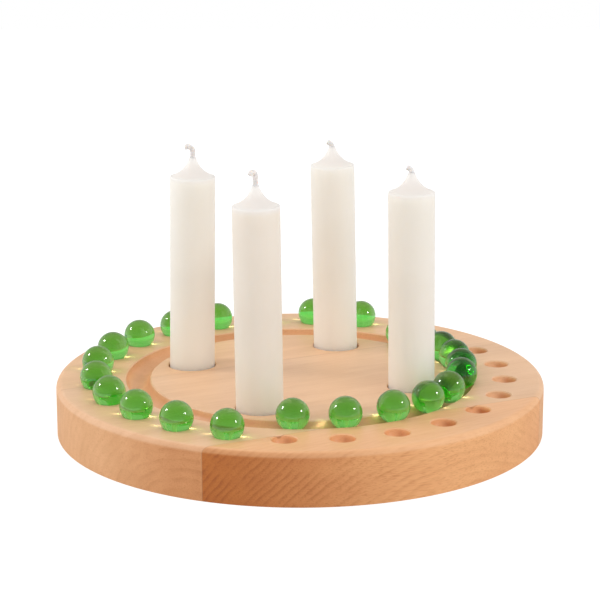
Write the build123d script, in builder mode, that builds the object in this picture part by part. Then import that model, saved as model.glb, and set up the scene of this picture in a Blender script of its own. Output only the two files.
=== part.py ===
from build123d import *
from math import asin, degrees, radians, sin, sqrt
import os

# Marbles: clear glass balls, one for each day that is counted
marble_diameter = 15.5
marble_overhang = 1.95
seat_gap = 0.1

# Candles: plain straight candles with a hollowed tip, each standing loose in a drilled socket
candle_count = 4
candle_diameter = 22.0
candle_circle_radius = 56.5
candle_height = 107.4
candle_height_differences = (-1.1, 0.1, 0.9, 0.0)
candle_leans = (-1.2, 0.8, -0.8, -0.7)
foot_gap = 0.1
candle_edge_round = 0.6
candle_tip_height = 9.2
candle_tip_hollow = 1.8
candle_neck_wall = 0.3

# Wicks: the bare end of each stands up from the tip and curls over
wick_diameter = 2.5
wick_clearance = 0.05
wick_stems = (0.1, 2.9, 4.4, 0.1)
wick_bend_radii = (1.8, 2.4, 1.9, 2.0)
wick_bends = (65.0, 105.0, 140.0, 60.0)
wick_ends = (1.4, 0.8, 0.4, 1.2)
wick_curl_turns = (180.0, 185.0, 230.0, 180.0)

# Disc: three beech boards glued edge to edge, turned round and drilled from above
socket_clearance = 0.6
socket_depth = 13.0
socket_floor = 12.0
candle_to_marble = 3.25
groove_to_dimple = 5.0
dimple_count = 24
rim_land = 13.2
pattern_turn = 71.0
recess_edge_break = 0.5
top_edge_round = 3.0
bottom_edge_round = 0.8
front_board_width = 38.0
middle_board_width = 107.0
grain_turn = 26.0

# Marble row: filled dimples count from the first one, and the rest lie along the groove
filled_dimples = 13
groove_row_start = 267.6
touch_gap = 0.5
groove_row_gaps = (8.5, 8.6, 6.6, 3.5, 8.2, touch_gap, touch_gap, touch_gap, touch_gap, touch_gap)

# Sizes that follow from the ones above
marble_radius = marble_diameter / 2
seat_radius = marble_radius - marble_overhang
candle_radius = candle_diameter / 2
socket_radius = candle_radius + socket_clearance
wick_radius = wick_diameter / 2
wick_bore_radius = wick_radius + wick_clearance
groove_radius = candle_circle_radius + candle_radius + candle_to_marble + marble_radius
dimple_circle_radius = groove_radius + marble_diameter + groove_to_dimple
disc_radius = dimple_circle_radius + seat_radius + rim_land
disc_thickness = socket_depth + socket_floor
front_joint = front_board_width - disc_radius
back_joint = front_joint + middle_board_width

# A marble rides on the inner or the outer edge of its seat's bevel, a hair clear of it
seat_reach = marble_radius + seat_gap
rise_on_inner_edge = sqrt(seat_reach**2 - seat_radius**2) - recess_edge_break
rise_on_outer_edge = sqrt(seat_reach**2 - (seat_radius + recess_edge_break) ** 2)
marble_height = disc_thickness + max(rise_on_inner_edge, rise_on_outer_edge)

os.makedirs("parts", exist_ok=True)


def write(part, name):
    part.label = name
    export_step(part, f"parts/{name}.step")


# Glued disc: turned with its ring groove, then drilled with dimples and candle sockets
with BuildPart() as disc:
    with BuildSketch(Plane.XZ):
        Rectangle(disc_radius, disc_thickness, align=Align.MIN)
        with Locations((groove_radius, disc_thickness)):
            Circle(seat_radius, mode=Mode.SUBTRACT)
        top_corners = vertices().group_by(Axis.Y)[-1].sort_by(Axis.X)
        rim_foot = vertices().group_by(Axis.Y)[0].sort_by(Axis.X)[-1]
        chamfer(top_corners[1:3], length=recess_edge_break)
        fillet(top_corners[-1], radius=top_edge_round)
        fillet(rim_foot, radius=bottom_edge_round)
    revolve(axis=Axis.Z)
    with Locations((0, 0, disc_thickness)):
        with PolarLocations(dimple_circle_radius, dimple_count, start_angle=pattern_turn):
            Sphere(seat_radius, mode=Mode.SUBTRACT)
        with PolarLocations(candle_circle_radius, candle_count, start_angle=pattern_turn):
            Hole(socket_radius, depth=socket_depth)
    top_edges = edges().filter_by_position(Axis.Z, disc_thickness, disc_thickness)
    mouths = top_edges.filter_by(GeomType.CIRCLE).filter_by(lambda edge: edge.radius <= socket_radius)
    chamfer(mouths, length=recess_edge_break)

# Boards: the disc falls into three at its glue joints, which run along the grain
across_grain = Vector(0, 1, 0).rotate(Axis.Z, grain_turn)
front_joint_plane = Plane(origin=across_grain * front_joint, z_dir=across_grain)
back_joint_plane = Plane(origin=across_grain * back_joint, z_dir=across_grain)

with BuildPart() as front_board:
    add(disc.part)
    split(bisect_by=front_joint_plane, keep=Keep.BOTTOM)
write(front_board.part, "front_board")

with BuildPart() as middle_board:
    add(disc.part)
    split(bisect_by=front_joint_plane, keep=Keep.TOP)
    split(bisect_by=back_joint_plane, keep=Keep.BOTTOM)
write(middle_board.part, "middle_board")

with BuildPart() as back_board:
    add(disc.part)
    split(bisect_by=back_joint_plane, keep=Keep.TOP)
write(back_board.part, "back_board")

# Candles: each stands on the floor of its socket, tipped a little, with its wick running to the foot
for index, place in enumerate(PolarLocations(candle_circle_radius, candle_count, start_angle=pattern_turn)):
    lean = candle_leans[index]
    foot_rise = candle_radius * sin(radians(abs(lean))) + foot_gap
    stand = Plane(place.position + Vector(0, 0, socket_floor + foot_rise)).rotated((0, lean, 0))
    candle_axis = Axis(stand.origin, stand.z_dir)
    shoulder = candle_height + candle_height_differences[index]
    tip = shoulder + candle_tip_height

    with BuildPart() as wax:
        with BuildSketch(Plane(stand.origin, x_dir=stand.x_dir, z_dir=-stand.y_dir)):
            with BuildLine():
                Polyline((wick_bore_radius, 0), (candle_radius, 0), (candle_radius, shoulder))
                neck = (wick_bore_radius + candle_neck_wall, tip)
                SagittaArc((candle_radius, shoulder), neck, candle_tip_hollow)
                Polyline(neck, (wick_bore_radius, tip), (wick_bore_radius, 0))
            make_face()
            fillet(vertices().group_by(Axis.X)[-1], radius=candle_edge_round)
        revolve(axis=candle_axis)
    write(wax.part, f"candle_wax_{index + 1}")

    curl_way = stand.x_dir.rotate(candle_axis, wick_curl_turns[index])
    with BuildPart() as wick:
        with BuildLine(Plane(stand.origin, x_dir=curl_way, z_dir=curl_way.cross(stand.z_dir))):
            stem = Line((0, 0), (0, tip + wick_stems[index]))
            curl = JernArc(stem @ 1, stem % 1, wick_bend_radii[index], -wick_bends[index])
            Line(curl @ 1, curl @ 1 + (curl % 1) * wick_ends[index])
        with BuildSketch(stand):
            Circle(wick_radius)
        sweep()
    write(wick.part, f"candle_wick_{index + 1}")

# Marble places: the filled dimples first, then round the groove with a gap before each next one
dimple_pitch = 360 / dimple_count
places = [(dimple_circle_radius, pattern_turn + dimple_pitch * step) for step in range(filled_dimples)]
turn = groove_row_start
places.append((groove_radius, turn))
for gap in groove_row_gaps:
    turn += 2 * degrees(asin((marble_diameter + gap) / (2 * groove_radius)))
    places.append((groove_radius, turn))

for index, (radius, turn) in enumerate(places):
    with BuildPart(Plane.XY.offset(marble_height)) as marble:
        with PolarLocations(radius, 1, start_angle=turn):
            Sphere(marble_radius)
    write(marble.part, f"marble_{index + 1:02d}")
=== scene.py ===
from math import asin, atan2, cos, pi, radians, sin

import bmesh
import bpy
from mathutils import Matrix, Vector


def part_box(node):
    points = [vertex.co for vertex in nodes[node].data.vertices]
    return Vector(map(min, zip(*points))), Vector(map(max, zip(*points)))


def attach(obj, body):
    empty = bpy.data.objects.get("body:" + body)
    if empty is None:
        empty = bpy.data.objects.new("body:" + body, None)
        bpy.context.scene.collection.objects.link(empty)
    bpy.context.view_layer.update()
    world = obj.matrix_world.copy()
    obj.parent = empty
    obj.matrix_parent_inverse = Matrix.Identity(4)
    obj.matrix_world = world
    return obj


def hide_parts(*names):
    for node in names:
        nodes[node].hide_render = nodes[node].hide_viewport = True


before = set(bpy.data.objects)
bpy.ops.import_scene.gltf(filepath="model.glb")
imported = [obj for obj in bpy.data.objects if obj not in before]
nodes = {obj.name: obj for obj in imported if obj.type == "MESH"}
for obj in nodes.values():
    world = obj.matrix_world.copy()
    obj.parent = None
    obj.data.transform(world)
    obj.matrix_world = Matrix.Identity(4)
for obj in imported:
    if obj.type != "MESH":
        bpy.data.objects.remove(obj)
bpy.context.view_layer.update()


# Beech boards
# Three steamed beech boards are glued edge to edge and turned to one disc, with a ring groove
# turned in and dimples and candle sockets drilled from above. The wood is fine sanded and oiled.
class Socket:
    """A shader socket: an expression on it adds Math nodes, and node() adds any other node to its tree."""

    def __init__(self, tree, link=None):
        self.tree = tree
        self.link = link

    def node(self, kind, settings, inputs, output=0):
        """Add a node, set it up, give its sockets their values or links, and return one of its outputs."""
        added = self.tree.nodes.new(kind)
        for name, value in settings.items():
            setattr(added, name, value)
        for name, value in inputs.items():
            if isinstance(value, Socket):
                self.tree.links.new(value.link, added.inputs[name])
            else:
                added.inputs[name].default_value = value
        return Socket(self.tree, added.outputs[output] if added.outputs else None)

    def maths(self, operation, *values):
        return self.node("ShaderNodeMath", {"operation": operation}, dict(enumerate(values)))

    def __add__(self, other):
        return self.maths("ADD", self, other)

    def __radd__(self, other):
        return self.maths("ADD", other, self)

    def __sub__(self, other):
        return self.maths("SUBTRACT", self, other)

    def __rsub__(self, other):
        return self.maths("SUBTRACT", other, self)

    def __mul__(self, other):
        return self.maths("MULTIPLY", self, other)

    def __rmul__(self, other):
        return self.maths("MULTIPLY", other, self)

    def __truediv__(self, other):
        return self.maths("DIVIDE", self, other)

    def __rtruediv__(self, other):
        return self.maths("DIVIDE", other, self)

    def __pow__(self, other):
        return self.maths("POWER", self, other)

    def __rpow__(self, other):
        return self.maths("POWER", other, self)

    def __mod__(self, other):
        return self.maths("FLOORED_MODULO", self, other)

    def __rmod__(self, other):
        return self.maths("FLOORED_MODULO", other, self)

    def __abs__(self):
        return self.maths("ABSOLUTE", self)

    def rise(self, start, end):
        """0 below start, 1 above end, and a smooth slope between."""
        return self.node(
            "ShaderNodeMapRange",
            {"interpolation_type": "SMOOTHSTEP"},
            {"Value": self, "From Min": start, "From Max": end},
        )

    def colour(self, off, on, blend="MIX"):
        """The colour off where this mask is 0, and on blended over it where the mask is 1."""
        settings = {"data_type": "RGBA", "blend_type": blend}
        return self.node("ShaderNodeMix", settings, {0: self, 6: off, 7: on}, output=2)


def new_finish(name):
    """An empty material, and a first socket that adds nodes to it."""
    finish = bpy.data.materials.new(name)
    finish.use_nodes = True
    finish.node_tree.nodes.clear()
    return finish, Socket(finish.node_tree)


def grained(start, place, stretch, size, detail, rough=0.5):
    """Noise from 0 to 1 on a place in mm, with grains of that size, drawn out by stretch along x."""
    drawn = start.node("ShaderNodeMapping", {}, {"Vector": place, "Scale": (1 / stretch, 1, 1)})
    inputs = {"Vector": drawn, "Scale": 1 / size, "Detail": detail, "Roughness": rough}
    return start.node("ShaderNodeTexNoise", {}, inputs)


mm = 1000
grain_turn = radians(26)
along_grain = Vector((cos(grain_turn), sin(grain_turn), 0))
across_grain = Vector((-sin(grain_turn), cos(grain_turn), 0))

# Sizes and places on the disc, in mm
front_joint = mm * max(across_grain.dot(point.co) for point in nodes["front_board"].data.vertices)
back_joint = mm * min(across_grain.dot(point.co) for point in nodes["back_board"].data.vertices)
disc_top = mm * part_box("middle_board")[1].z
before_groove = 70
past_dimples = 112
radius_blur = 1
# Painted shade in the dimples and groove comes in over these depths below the top.
hollow_depths = (0.5, 2.5)
# Span along the grain over which painted shade on the left-looking hollow walls grows towards the right.
hollow_end_span = (10, 60)
# Span across the grain over which painted shade on left-looking end grain fades, from the front joint
# backwards.
left_end_span = (front_joint, -20)
glue_half_widths = (0.06, 0.2)
ring_sway = 6
relief_depth = 0.06

# Slopes: the part of a face's normal that points up, or left or right along the grain
rim_slopes = (0.0, 0.4)
rounded_slopes = (0.8, 0.99)
left_slopes = (-0.15, 0.75)
right_slopes = (0.5, 0.9)
hollow_left_slopes = (0.2, 0.75)

# Strength, relief, roughness and tint of what shows on the plain wood
rounded_share = 0.65
# Painted shade on left-looking end grain loses this share away from the front joint.
left_end_loss = 0.75
# Left-looking walls of the dimples and groove: darker end grain, with painted shade that grows towards the
# right.
hollow_end_least = 0.45
hollow_end_gain = 0.5
ring_on_top = 0.15
ring_on_rim = 0.2
ring_on_end = 0.65
fibre_strength = 0.25
fleck_on_top = 0.25
fleck_on_rim = 0.55
glue_strength = 0.6
fibre_relief = 0.6
ring_relief = 0.4
fleck_relief = 0.5
sanded_roughness = 0.34
fibre_roughness = 0.16
edge_roughness = 0.25
rim_tint = (0.98, 0.915, 0.79, 1)
right_end_tint = (0.96, 0.88, 0.83, 1)
# Painted shade, darker and more orange, in the dimples and the groove.
painted_hollow_shade_tint = (0.99, 0.90, 0.79, 1)
ring_tint = (0.78, 0.68, 0.54, 1)
fibre_tint = (0.75, 0.66, 0.58, 1)
fleck_tint = (0.84, 0.75, 0.66, 1)
glue_colour = (0.40, 0.19, 0.08, 1)


def beech(name, ring_age, ring_gap, ring_depth, pale, deep, end_grain_and_shade_tint):
    """Beech with its grain along the joints; left-looking end grain takes end_grain_and_shade_tint with
    painted shade near the front joint, and painted shade darkens the dimples and groove.
    """
    finish, start = new_finish(name)
    place = start.node("ShaderNodeTexCoord", {}, {}, output="Object")
    turned = {"Vector": place, "Rotation": (0, 0, -grain_turn), "Scale": (mm, mm, mm)}
    board = start.node("ShaderNodeMapping", {}, turned)
    u, v, w = (start.node("ShaderNodeSeparateXYZ", {}, {0: board}, output=axis) for axis in "XYZ")
    normal = start.node("ShaderNodeTexCoord", {}, {}, output="Normal")
    upright = start.node("ShaderNodeSeparateXYZ", {}, {0: normal}, output="Z")
    dot = {"operation": "DOT_PRODUCT"}
    right = start.node("ShaderNodeVectorMath", dot, {0: normal, 1: along_grain}, output="Value")
    left = 0 - right

    reach = (u * u + v * v) ** 0.5
    outside = reach.rise(past_dimples - radius_blur, past_dimples + radius_blur)
    seats = reach.rise(before_groove - radius_blur, before_groove + radius_blur) * (1 - outside)
    rim = 1 - upright.rise(*rim_slopes)
    rounded = 1 - upright.rise(*rounded_slopes)
    edge = (rounded_share * rounded + (1 - rounded_share) * rim) * outside
    # Left-looking end grain is darker, with painted shade added that is strongest near the front joint.
    left_end_grain_and_shade = edge * left.rise(*left_slopes) * (1 - left_end_loss * v.rise(*left_end_span))
    # Painted shade: the dimples and the groove darken with depth below the top.
    hollow = (disc_top - w).rise(*hollow_depths) * seats
    # Left-looking walls of the dimples and groove: end grain with painted shade, stronger towards the right.
    hollow_end_grain_and_shade = hollow_end_least + hollow_end_gain * u.rise(*hollow_end_span)
    hollow_end_grain_and_shade = hollow_end_grain_and_shade * hollow * left.rise(*hollow_left_slopes)

    sway = grained(start, board, stretch=4, size=24, detail=3.0) - 0.5
    ring = ((ring_age(u, v, w) + sway * ring_sway) / ring_gap) % 1.0
    ring_line = ring.rise(0.30, 0.85) * (1 - ring.rise(0.85, 1.0))
    ring_line = ring_line * grained(start, board, stretch=2, size=7, detail=2.0).rise(0.30, 0.65)
    streaks = grained(start, board, stretch=12, size=8, detail=3.0).rise(0.25, 0.75)
    fibres = grained(start, board, stretch=40, size=0.6, detail=2.0, rough=0.6)
    flecks = grained(start, board, stretch=14, size=0.4, detail=1.0).rise(0.50, 0.70)

    ring_share = ring_on_top + ring_on_rim * rim + ring_on_end * left_end_grain_and_shade
    fleck_share = fleck_on_top + fleck_on_rim * rim
    wood = streaks.colour(pale, deep)
    for mask, tint in (
        # Left-looking end grain, with painted shade near the front joint.
        (left_end_grain_and_shade, end_grain_and_shade_tint),
        (rim, rim_tint),
        (rim * right.rise(*right_slopes), right_end_tint),
        # Painted shade in the dimples and groove.
        (hollow, painted_hollow_shade_tint),
        # End grain with painted shade on the left-looking walls of the dimples and groove.
        (hollow_end_grain_and_shade, end_grain_and_shade_tint),
        (ring_line * (ring_depth * ring_share), ring_tint),
        (fibres.rise(0.45, 0.8) * fibre_strength, fibre_tint),
        (flecks * fleck_share, fleck_tint),
    ):
        wood = mask.colour(wood, tint, "MULTIPLY")
    joint = start.maths("MINIMUM", abs(v - front_joint), abs(v - back_joint))
    glue = glue_strength * (1 - joint.rise(*glue_half_widths))

    relief = fibre_relief * fibres + ring_relief * ring_line - fleck_relief * flecks
    bump = {"Strength": 0.25, "Distance": relief_depth / mm, "Height": relief}
    inputs = {
        "Base Color": glue.colour(wood, glue_colour),
        "Roughness": sanded_roughness + fibre_roughness * fibres + edge_roughness * edge,
        "Specular IOR Level": 0.6,
        "Normal": start.node("ShaderNodeBump", {}, bump),
    }
    surface = start.node("ShaderNodeBsdfPrincipled", {}, inputs)
    start.node("ShaderNodeOutputMaterial", {}, {"Surface": surface})
    return finish


def rings_around(across, height):
    """Growth rings round a pith along the grain, so far across from the centre and up from the underside."""
    return lambda u, v, w: ((v - across) ** 2 + (w - height) ** 2) ** 0.5


def slanting_rings(u, v, w):
    """Rings far from the pith, in flat layers that dive through the board."""
    along_dip, across_dip, dip_length = 0.35, 1.35, 1.72
    return (w - along_dip * u + across_dip * v) / dip_length


# Each board's end grain tint also carries painted shade near the front joint and on the hollow walls.
boards = {
    "front_board": beech(
        "front_beech",
        ring_age=slanting_rings,
        ring_gap=2.5,
        ring_depth=1.0,
        pale=(0.865, 0.485, 0.245, 1),
        deep=(0.81, 0.43, 0.21, 1),
        end_grain_and_shade_tint=(0.60, 0.345, 0.095, 1),
    ),
    "middle_board": beech(
        "middle_beech",
        ring_age=rings_around(across=-75, height=-18),
        ring_gap=4.6,
        ring_depth=0.45,
        pale=(0.845, 0.53, 0.318, 1),
        deep=(0.79, 0.48, 0.275, 1),
        end_grain_and_shade_tint=(0.80, 0.615, 0.47, 1),
    ),
    "back_board": beech(
        "back_beech",
        ring_age=rings_around(across=60, height=-60),
        ring_gap=4.2,
        ring_depth=0.40,
        pale=(0.845, 0.515, 0.293, 1),
        deep=(0.78, 0.465, 0.252, 1),
        end_grain_and_shade_tint=(0.92, 0.82, 0.74, 1),
    ),
}
for name, finish in boards.items():
    board = nodes[name]
    board.data.materials.clear()
    board.data.materials.append(finish)


# Glass marbles
# Balls of clear green glass, pressed and fire polished. They lie loose on the edges of the dimples
# and of the ring groove. The glass is coloured through, so that thin edges are paler.
marble_radius = 0.00775
ball_subdivisions = 6
glass_tint = (0.44, 0.92, 0.31, 1)
glass_depth = 200
clear_skin = (0.97, 1.0, 0.96, 1)
swirled_skin = (0.90, 0.98, 0.88, 1)
swirl_scale = 180
polish_slopes = (0.4, 0.75)
polish_roughness = 0.13
shadow_tint = (0.7, 0.6, 0.7, 1)
light_spot_tint = (13.0, 6.0, 14.0, 1)
light_spot_sharpness = 120.0


def green_glass():
    """Glass that bends light, and that lets a lamp's light through to a bright spot behind the marble."""
    finish, start = new_finish("green_glass")
    place = start.node("ShaderNodeTexCoord", {}, {}, output="Object")
    slant = start.node("ShaderNodeLayerWeight", {}, {"Blend": 0.5}, output="Facing")
    swirling = {"Vector": place, "Scale": swirl_scale, "Detail": 1.0, "Distortion": 0.8}
    swirl = start.node("ShaderNodeTexNoise", {}, swirling)
    inputs = {
        "Base Color": swirl.rise(0.3, 0.7).colour(clear_skin, swirled_skin),
        "Roughness": 0.0,
        "IOR": 1.5,
        "Transmission Weight": 1.0,
        "Coat Weight": 1 - slant.rise(*polish_slopes),
        "Coat Roughness": polish_roughness,
    }
    surface = start.node("ShaderNodeBsdfPrincipled", {}, inputs)
    shade = start.node("ShaderNodeBsdfTransparent", {}, {"Color": shadow_tint})
    focus = start.node("ShaderNodeBsdfTransparent", {}, {"Color": light_spot_tint})
    middle = (1 - slant) ** light_spot_sharpness
    cast = start.node("ShaderNodeMixShader", {}, {0: middle, 1: shade, 2: focus})
    lamp_ray = start.node("ShaderNodeLightPath", {}, {}, output="Is Shadow Ray")
    surface = start.node("ShaderNodeMixShader", {}, {0: lamp_ray, 1: surface, 2: cast})
    body = start.node("ShaderNodeVolumeAbsorption", {}, {"Color": glass_tint, "Density": glass_depth})
    start.node("ShaderNodeOutputMaterial", {}, {"Surface": surface, "Volume": body})
    return finish


def new_piece(name, shape, finish, body, replaced):
    """Make the shape a smooth piece that rides on a body and stands in for a CAD node."""
    mesh = bpy.data.meshes.new(name)
    shape.to_mesh(mesh)
    shape.free()
    mesh.materials.append(finish)
    mesh.shade_smooth()
    piece = bpy.data.objects.new(name, mesh)
    bpy.context.scene.collection.objects.link(piece)
    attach(piece, body)
    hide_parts(replaced)


glass = green_glass()
for name in sorted(node for node in nodes if node.startswith("marble_")):
    low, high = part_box(name)
    centre = Matrix.Translation((low + high) / 2)
    ball = bmesh.new()
    bmesh.ops.create_icosphere(ball, subdivisions=ball_subdivisions, radius=marble_radius, matrix=centre)
    new_piece(f"glass_{name}", ball, glass, name, name)


# Candle wax
# Straight pressed candles of ivory wax, drawn in to a hollow point at the tip. Each stands loose
# and a little tipped in its socket. Light sinks into the wax; painted light makes the lower part paler, and
# painted shade makes the tip greyer.
candle_count = 4
candle_radius = 0.011
candle_circle_radius = 0.0565
first_candle_turn = radians(71)
candle_height = 0.1074
candle_height_differences = (-0.0011, 0.0001, 0.0009, 0.0)
candle_leans = (-1.2, 0.8, -0.8, -0.7)
candle_edge_round = 0.0006
candle_tip_height = 0.0092
candle_tip_hollow = 0.0018
candle_neck_radius = 0.0016
socket_floor = 0.012
foot_gap = 0.0001
wax_sides = 96
tip_steps = 24
edge_steps = 4
corner_angle = radians(60)
merge_distance = 1e-6
pale_wax = (0.80, 0.765, 0.70)
deep_wax = (0.815, 0.78, 0.72)
# Painted light: paler wax low on each candle.
painted_light_foot_wax = (0.88, 0.85, 0.795)
# Painted shade: greyer wax on the upward-facing tip.
painted_shade_tip_wax = (0.755, 0.71, 0.67, 1)
candle_shades = ((1.0, 1.0, 1.0), (1.0, 1.0, 1.0), (0.96, 0.92, 0.89), (0.98, 0.975, 0.97))
foot_heights = (0.025, 0.075)
tip_heights = (0.117, 0.121)
scatter_depth = 0.010


def candle_wax(name, shade):
    """Wax that light sinks into, with painted light making it paler low down and painted shade greying the
    tip, and its colours dimmed to one candle's shade.
    """
    pale, deep, foot = (
        (*(part * dim for part, dim in zip(colour, shade)), 1) for colour in (pale_wax, deep_wax, painted_light_foot_wax)
    )
    finish, start = new_finish(name)
    place = start.node("ShaderNodeTexCoord", {}, {}, output="Object")
    cloud = start.node("ShaderNodeTexNoise", {}, {"Vector": place, "Scale": 60, "Detail": 3.0})
    skin = start.node("ShaderNodeTexNoise", {}, {"Vector": place, "Scale": 700, "Detail": 2.0})
    height = start.node("ShaderNodeSeparateXYZ", {}, {0: place}, output="Z")
    tone = cloud.rise(0.25, 0.75).colour(pale, deep)
    # Painted light: the wax turns paler towards the lower part.
    tone = (1 - height.rise(*foot_heights)).colour(tone, foot)
    # Painted shade: the tip turns greyer.
    tone = height.rise(*tip_heights).colour(tone, painted_shade_tip_wax)
    bump = {"Strength": 0.05, "Distance": 0.0002, "Height": cloud + skin * 0.25}
    inputs = {
        "Base Color": tone,
        "Roughness": 0.38 + 0.14 * skin,
        "Subsurface Weight": 1.0,
        "Subsurface Radius": (1.0, 1.0, 1.0),
        "Subsurface Scale": scatter_depth,
        "IOR": 1.44,
        "Normal": start.node("ShaderNodeBump", {}, bump),
    }
    surface = start.node("ShaderNodeBsdfPrincipled", {}, inputs)
    start.node("ShaderNodeOutputMaterial", {}, {"Surface": surface})
    return finish


def candle_shape(shoulder):
    """The wax turned about z from its half outline, with the hollow of the tip struck as one arc."""
    edge = Vector((candle_radius, 0, shoulder))
    neck = Vector((candle_neck_radius, 0, shoulder + candle_tip_height))
    span = neck - edge
    arc_radius = (span.length ** 2 / 4 + candle_tip_hollow ** 2) / (2 * candle_tip_hollow)
    outward = Vector((span.z, 0, -span.x)).normalized()
    centre = (edge + neck) / 2 + outward * (arc_radius - candle_tip_hollow)
    turn = 2 * asin(span.length / (2 * arc_radius))
    shape = bmesh.new()
    outline = [shape.verts.new(point) for point in ((0, 0, 0), (candle_radius, 0, 0), edge)]
    for pair in zip(outline, outline[1:]):
        shape.edges.new(pair)
    corner = outline[-1:]
    hollow = bmesh.ops.spin(shape, geom=corner, cent=centre, axis=(0, 1, 0), angle=turn, steps=tip_steps)
    tip = next(item for item in hollow["geom_last"] if isinstance(item, bmesh.types.BMVert))
    shape.edges.new((tip, shape.verts.new((0, 0, neck.z + candle_neck_radius / 2))))
    half = shape.verts[:] + shape.edges[:]
    bmesh.ops.spin(shape, geom=half, axis=(0, 0, 1), angle=2 * pi, steps=wax_sides, use_merge=True)
    bmesh.ops.remove_doubles(shape, verts=shape.verts, dist=merge_distance)
    bmesh.ops.recalc_face_normals(shape, faces=shape.faces)
    rims = [line for line in shape.edges if line.calc_face_angle(0) > corner_angle]
    bmesh.ops.bevel(
        shape,
        geom=rims,
        offset=candle_edge_round,
        affect="EDGES",
        segments=edge_steps,
        profile=0.5,
        material=-1,
    )
    return shape


def candle_stand(index):
    """Where one candle stands on the floor of its socket, and how far it tips."""
    lean = radians(candle_leans[index])
    turn = first_candle_turn + 2 * pi * index / candle_count
    x = candle_circle_radius * cos(turn)
    y = candle_circle_radius * sin(turn)
    foot_rise = candle_radius * abs(sin(lean)) + foot_gap
    return Matrix.Translation((x, y, socket_floor + foot_rise)) @ Matrix.Rotation(lean, 4, "Y")


for index in range(candle_count):
    number = index + 1
    wax = candle_wax(f"ivory_wax_{number}", candle_shades[index])
    shape = candle_shape(candle_height + candle_height_differences[index])
    bmesh.ops.transform(shape, matrix=candle_stand(index), verts=shape.verts)
    new_piece(f"pressed_wax_{number}", shape, wax, f"candle_{number}", f"candle_wax_{number}")


# Wicks
# Plaited cotton stiffened with wax, running down the middle of each candle to its foot. The bare
# end stands out of the tip, dips over to one side and shows the plait.
wick_radius = 0.00125
wick_sides = 36
wick_stems = (0.0001, 0.0029, 0.0044, 0.0001)
wick_bend_radii = (0.0018, 0.0024, 0.0019, 0.0020)
wick_bends = (65.0, 105.0, 140.0, 60.0)
wick_ends = (0.0014, 0.0008, 0.0004, 0.0012)
wick_curl_turns = (180.0, 185.0, 230.0, 180.0)
bare_from = 0.0025
ring_step = 0.00018
dome_share = 0.7
plait_depth = 0.16
plait_pitch = 0.0042
plait_strands = 3
soaked_cotton = (0.68, 0.64, 0.62, 1)
dry_cotton = (0.82, 0.79, 0.775, 1)


def plaited_cotton():
    """Off-white cotton with wax soaked into it here and there."""
    finish, start = new_finish("plaited_cotton")
    place = start.node("ShaderNodeTexCoord", {}, {}, output="Object")
    soak = start.node("ShaderNodeTexNoise", {}, {"Vector": place, "Scale": 900, "Detail": 2.0})
    fibre = start.node("ShaderNodeTexNoise", {}, {"Vector": place, "Scale": 5200, "Detail": 3.0})
    inputs = {
        "Base Color": soak.rise(0.3, 0.7).colour(soaked_cotton, dry_cotton),
        "Roughness": 0.55 + 0.3 * fibre,
        "Subsurface Weight": 0.4,
        "Subsurface Radius": (1.0, 0.8, 0.6),
        "Subsurface Scale": 0.0012,
        "Normal": start.node("ShaderNodeBump", {}, {"Strength": 0.4, "Distance": 0.0001, "Height": fibre}),
    }
    surface = start.node("ShaderNodeBsdfPrincipled", {}, inputs)
    start.node("ShaderNodeOutputMaterial", {}, {"Surface": surface})
    return finish


def carry_on(shape, ring, move):
    """Extrude the open ring of edges, move the new ring and return its edges and points."""
    grown = bmesh.ops.extrude_edge_only(shape, edges=ring)["geom"]
    points = [item for item in grown if isinstance(item, bmesh.types.BMVert)]
    bmesh.ops.transform(shape, matrix=move, verts=points)
    return [item for item in grown if isinstance(item, bmesh.types.BMEdge) and item.is_boundary], points


def press_plait(points, way, run):
    """Press the hollows of the plait into one ring of points; run is its distance along the bare end."""
    twist = 2 * pi * run / plait_pitch
    depth = plait_depth * min(1, run / bare_from)
    for point in points:
        flat = way.inverted() @ point.co
        turn = plait_strands * atan2(flat.y, flat.x)
        strand = max(cos(turn + twist), cos(turn - twist + pi))
        shrink = 1 - depth * (1 - strand) / 2
        point.co = way @ Vector((flat.x * shrink, flat.y * shrink, flat.z))


def plaited_wick(foot_to_tip, stem, bend_radius, bend, end):
    """A wick that stands on the origin, goes up through the candle and curls over towards x."""
    plain = foot_to_tip - bare_from
    straight = bare_from + stem
    hinge = Matrix.Translation((bend_radius, 0, plain + straight))
    bend_steps = round(bend_radius * bend / ring_step)
    up = Matrix.Translation((0, 0, ring_step))
    over = hinge @ Matrix.Rotation(bend / bend_steps, 4, "Y") @ hinge.inverted()
    out = Matrix.Translation(Vector((sin(bend), 0, cos(bend))) * ring_step)
    moves = [up] * round(straight / ring_step) + [over] * bend_steps + [out] * round(end / ring_step)

    shape = bmesh.new()
    bmesh.ops.create_circle(shape, cap_ends=True, segments=wick_sides, radius=wick_radius)
    way = Matrix.Translation((0, 0, plain))
    ring, _ = carry_on(shape, list(shape.edges), way)
    rings = []
    for move in moves:
        ring, points = carry_on(shape, ring, move)
        way = move @ way
        rings.append((points, way))
    dome = way @ up @ Matrix.Scale(dome_share, 4) @ way.inverted()
    ring, _ = carry_on(shape, ring, dome)
    bmesh.ops.edgeloop_fill(shape, edges=ring)
    for count, (points, way) in enumerate(rings):
        press_plait(points, way, count * ring_step)
    bmesh.ops.recalc_face_normals(shape, faces=shape.faces)
    return shape


cotton = plaited_cotton()
for index in range(candle_count):
    number = index + 1
    tip = candle_height + candle_height_differences[index] + candle_tip_height
    bend = radians(wick_bends[index])
    shape = plaited_wick(tip, wick_stems[index], wick_bend_radii[index], bend, wick_ends[index])
    curl = Matrix.Rotation(radians(wick_curl_turns[index]), 4, "Z")
    bmesh.ops.transform(shape, matrix=candle_stand(index) @ curl, verts=shape.verts)
    new_piece(f"plaited_wick_{number}", shape, cotton, f"candle_{number}", f"candle_wick_{number}")


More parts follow.
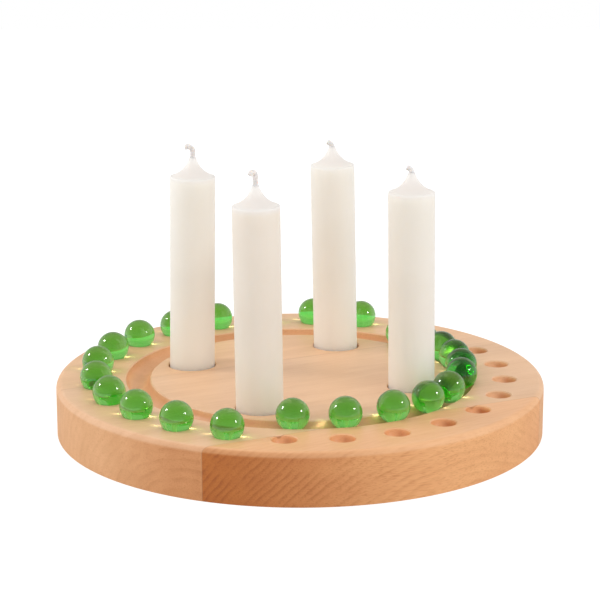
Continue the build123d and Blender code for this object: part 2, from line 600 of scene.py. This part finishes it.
# Pale sky
# An even white sky lights the holder, a little less from straight above and from the sides. The
# camera sees it as white. Glass and polish see a dim room instead, with a pale wall at the back.
scene = bpy.context.scene
scene.view_settings.view_transform = "Standard"
white = (1, 1, 1, 1)
horizon_level = 1.33
zenith_loss = 0.30
side_loss = 0.35
room_level = 0.25
wall_level = 0.85
wall_loss = 0.30
overhead_loss = 0.55
wall_span = (-0.4, 0.3)
wall_top_span = (-0.08, 0.12)
overhead_span = (0.3, 0.7)


def seen_directly(start):
    """Two masks: rays from the camera alone, and rays from the camera, a reflection or clear glass."""
    rays = ("Is Camera Ray", "Is Glossy Ray", "Is Transmission Ray")
    camera, glossy, clear = (start.node("ShaderNodeLightPath", {}, {}, output=ray) for ray in rays)
    return camera, start.maths("MAXIMUM", start.maths("MAXIMUM", camera, glossy), clear)


world = bpy.data.worlds.new("pale_sky")
scene.world = world
world.use_nodes = True
world.node_tree.nodes.clear()
sky = Socket(world.node_tree)
way = sky.node("ShaderNodeTexCoord", {}, {}, output="Generated")
side, depth, height = (sky.node("ShaderNodeSeparateXYZ", {}, {0: way}, output=axis) for axis in "XYZ")
level = horizon_level - zenith_loss * abs(height) - side_loss * abs(side)
wall = depth.rise(*wall_span) * (1 - wall_loss * height.rise(*wall_top_span))
room = room_level + (wall_level - room_level) * wall
room = room * (1 - overhead_loss * height.rise(*overhead_span))
camera_ray, seen_ray = seen_directly(sky)
seen_level = sky.maths("MAXIMUM", room, camera_ray)
fill = sky.node("ShaderNodeBackground", {}, {"Color": white, "Strength": level})
backdrop = sky.node("ShaderNodeBackground", {}, {"Color": white, "Strength": seen_level})
both = sky.node("ShaderNodeMixShader", {}, {0: seen_ray, 1: fill, 2: backdrop})
sky.node("ShaderNodeOutputWorld", {}, {"Surface": both})


# White table
# A plain white table top under the disc. The camera sees it as white with a faint shadow, and
# glass and polish see it a little dimmer.
table_size = 3.0
table_drop = 0.0001
table_white = (0.75, 0.75, 0.75, 1)
table_shadow = (0.35, 0.35, 0.35, 1)
glow_in_glass = 0.5
glow_in_camera = 0.78

table_finish, start = new_finish("white_table")
lit = start.node("ShaderNodeBsdfDiffuse", {}, {"Color": table_white})
shaded = start.node("ShaderNodeBsdfDiffuse", {}, {"Color": table_shadow})
dim_glow = start.node("ShaderNodeEmission", {}, {"Color": white, "Strength": glow_in_glass})
full_glow = start.node("ShaderNodeEmission", {}, {"Color": white, "Strength": glow_in_camera})
camera_ray, seen_ray = seen_directly(start)
glow = start.node("ShaderNodeMixShader", {}, {0: camera_ray, 1: dim_glow, 2: full_glow})
seen = start.node("ShaderNodeAddShader", {}, {0: shaded, 1: glow})
both = start.node("ShaderNodeMixShader", {}, {0: seen_ray, 1: lit, 2: seen})
start.node("ShaderNodeOutputMaterial", {}, {"Surface": both})

slab = bmesh.new()
below = Matrix.Translation((0, 0, -table_drop))
bmesh.ops.create_grid(slab, x_segments=1, y_segments=1, size=table_size / 2, matrix=below)
slab_mesh = bpy.data.meshes.new("table_top")
slab.to_mesh(slab_mesh)
slab.free()
slab_mesh.materials.append(table_finish)
table_top = bpy.data.objects.new("table_top", slab_mesh)
scene.collection.objects.link(table_top)


# Lamps and camera
# Two round soft lamps, the stronger at the left, give the marbles their highlights and light spots.
# A long lens looks down a little on the holder from the front.
lamp_target = Vector((0, 0, 0.04))
lamp_distance = 1.2
lamp_width = 0.2
lamps = {"left_lamp": ((-0.83, 0.11, 0.545), 3.0), "right_lamp": ((0.83, -0.31, 0.46), 2.0)}
camera_place = (0, -0.9796, 0.31865)
camera_target = Vector((0, 0, 0.06265))
camera_lens = 126
camera_sensor = 36

for name, (towards, power) in lamps.items():
    lamp = bpy.data.lights.new(name, "AREA")
    lamp.shape = "DISK"
    lamp.size = lamp_width
    lamp.energy = power
    lamp_object = bpy.data.objects.new(name, lamp)
    towards = Vector(towards).normalized()
    lamp_object.location = lamp_target + towards * lamp_distance
    lamp_object.rotation_euler = towards.to_track_quat("Z", "Y").to_euler()
    scene.collection.objects.link(lamp_object)
    lamp_object.visible_transmission = False

camera = bpy.data.cameras.new("photo_camera")
camera.lens = camera_lens
camera.sensor_width = camera_sensor
camera_object = bpy.data.objects.new("photo_camera", camera)
camera_object.location = camera_place
aim = camera_target - camera_object.location
camera_object.rotation_euler = aim.to_track_quat("-Z", "Y").to_euler()
scene.collection.objects.link(camera_object)
scene.camera = camera_object
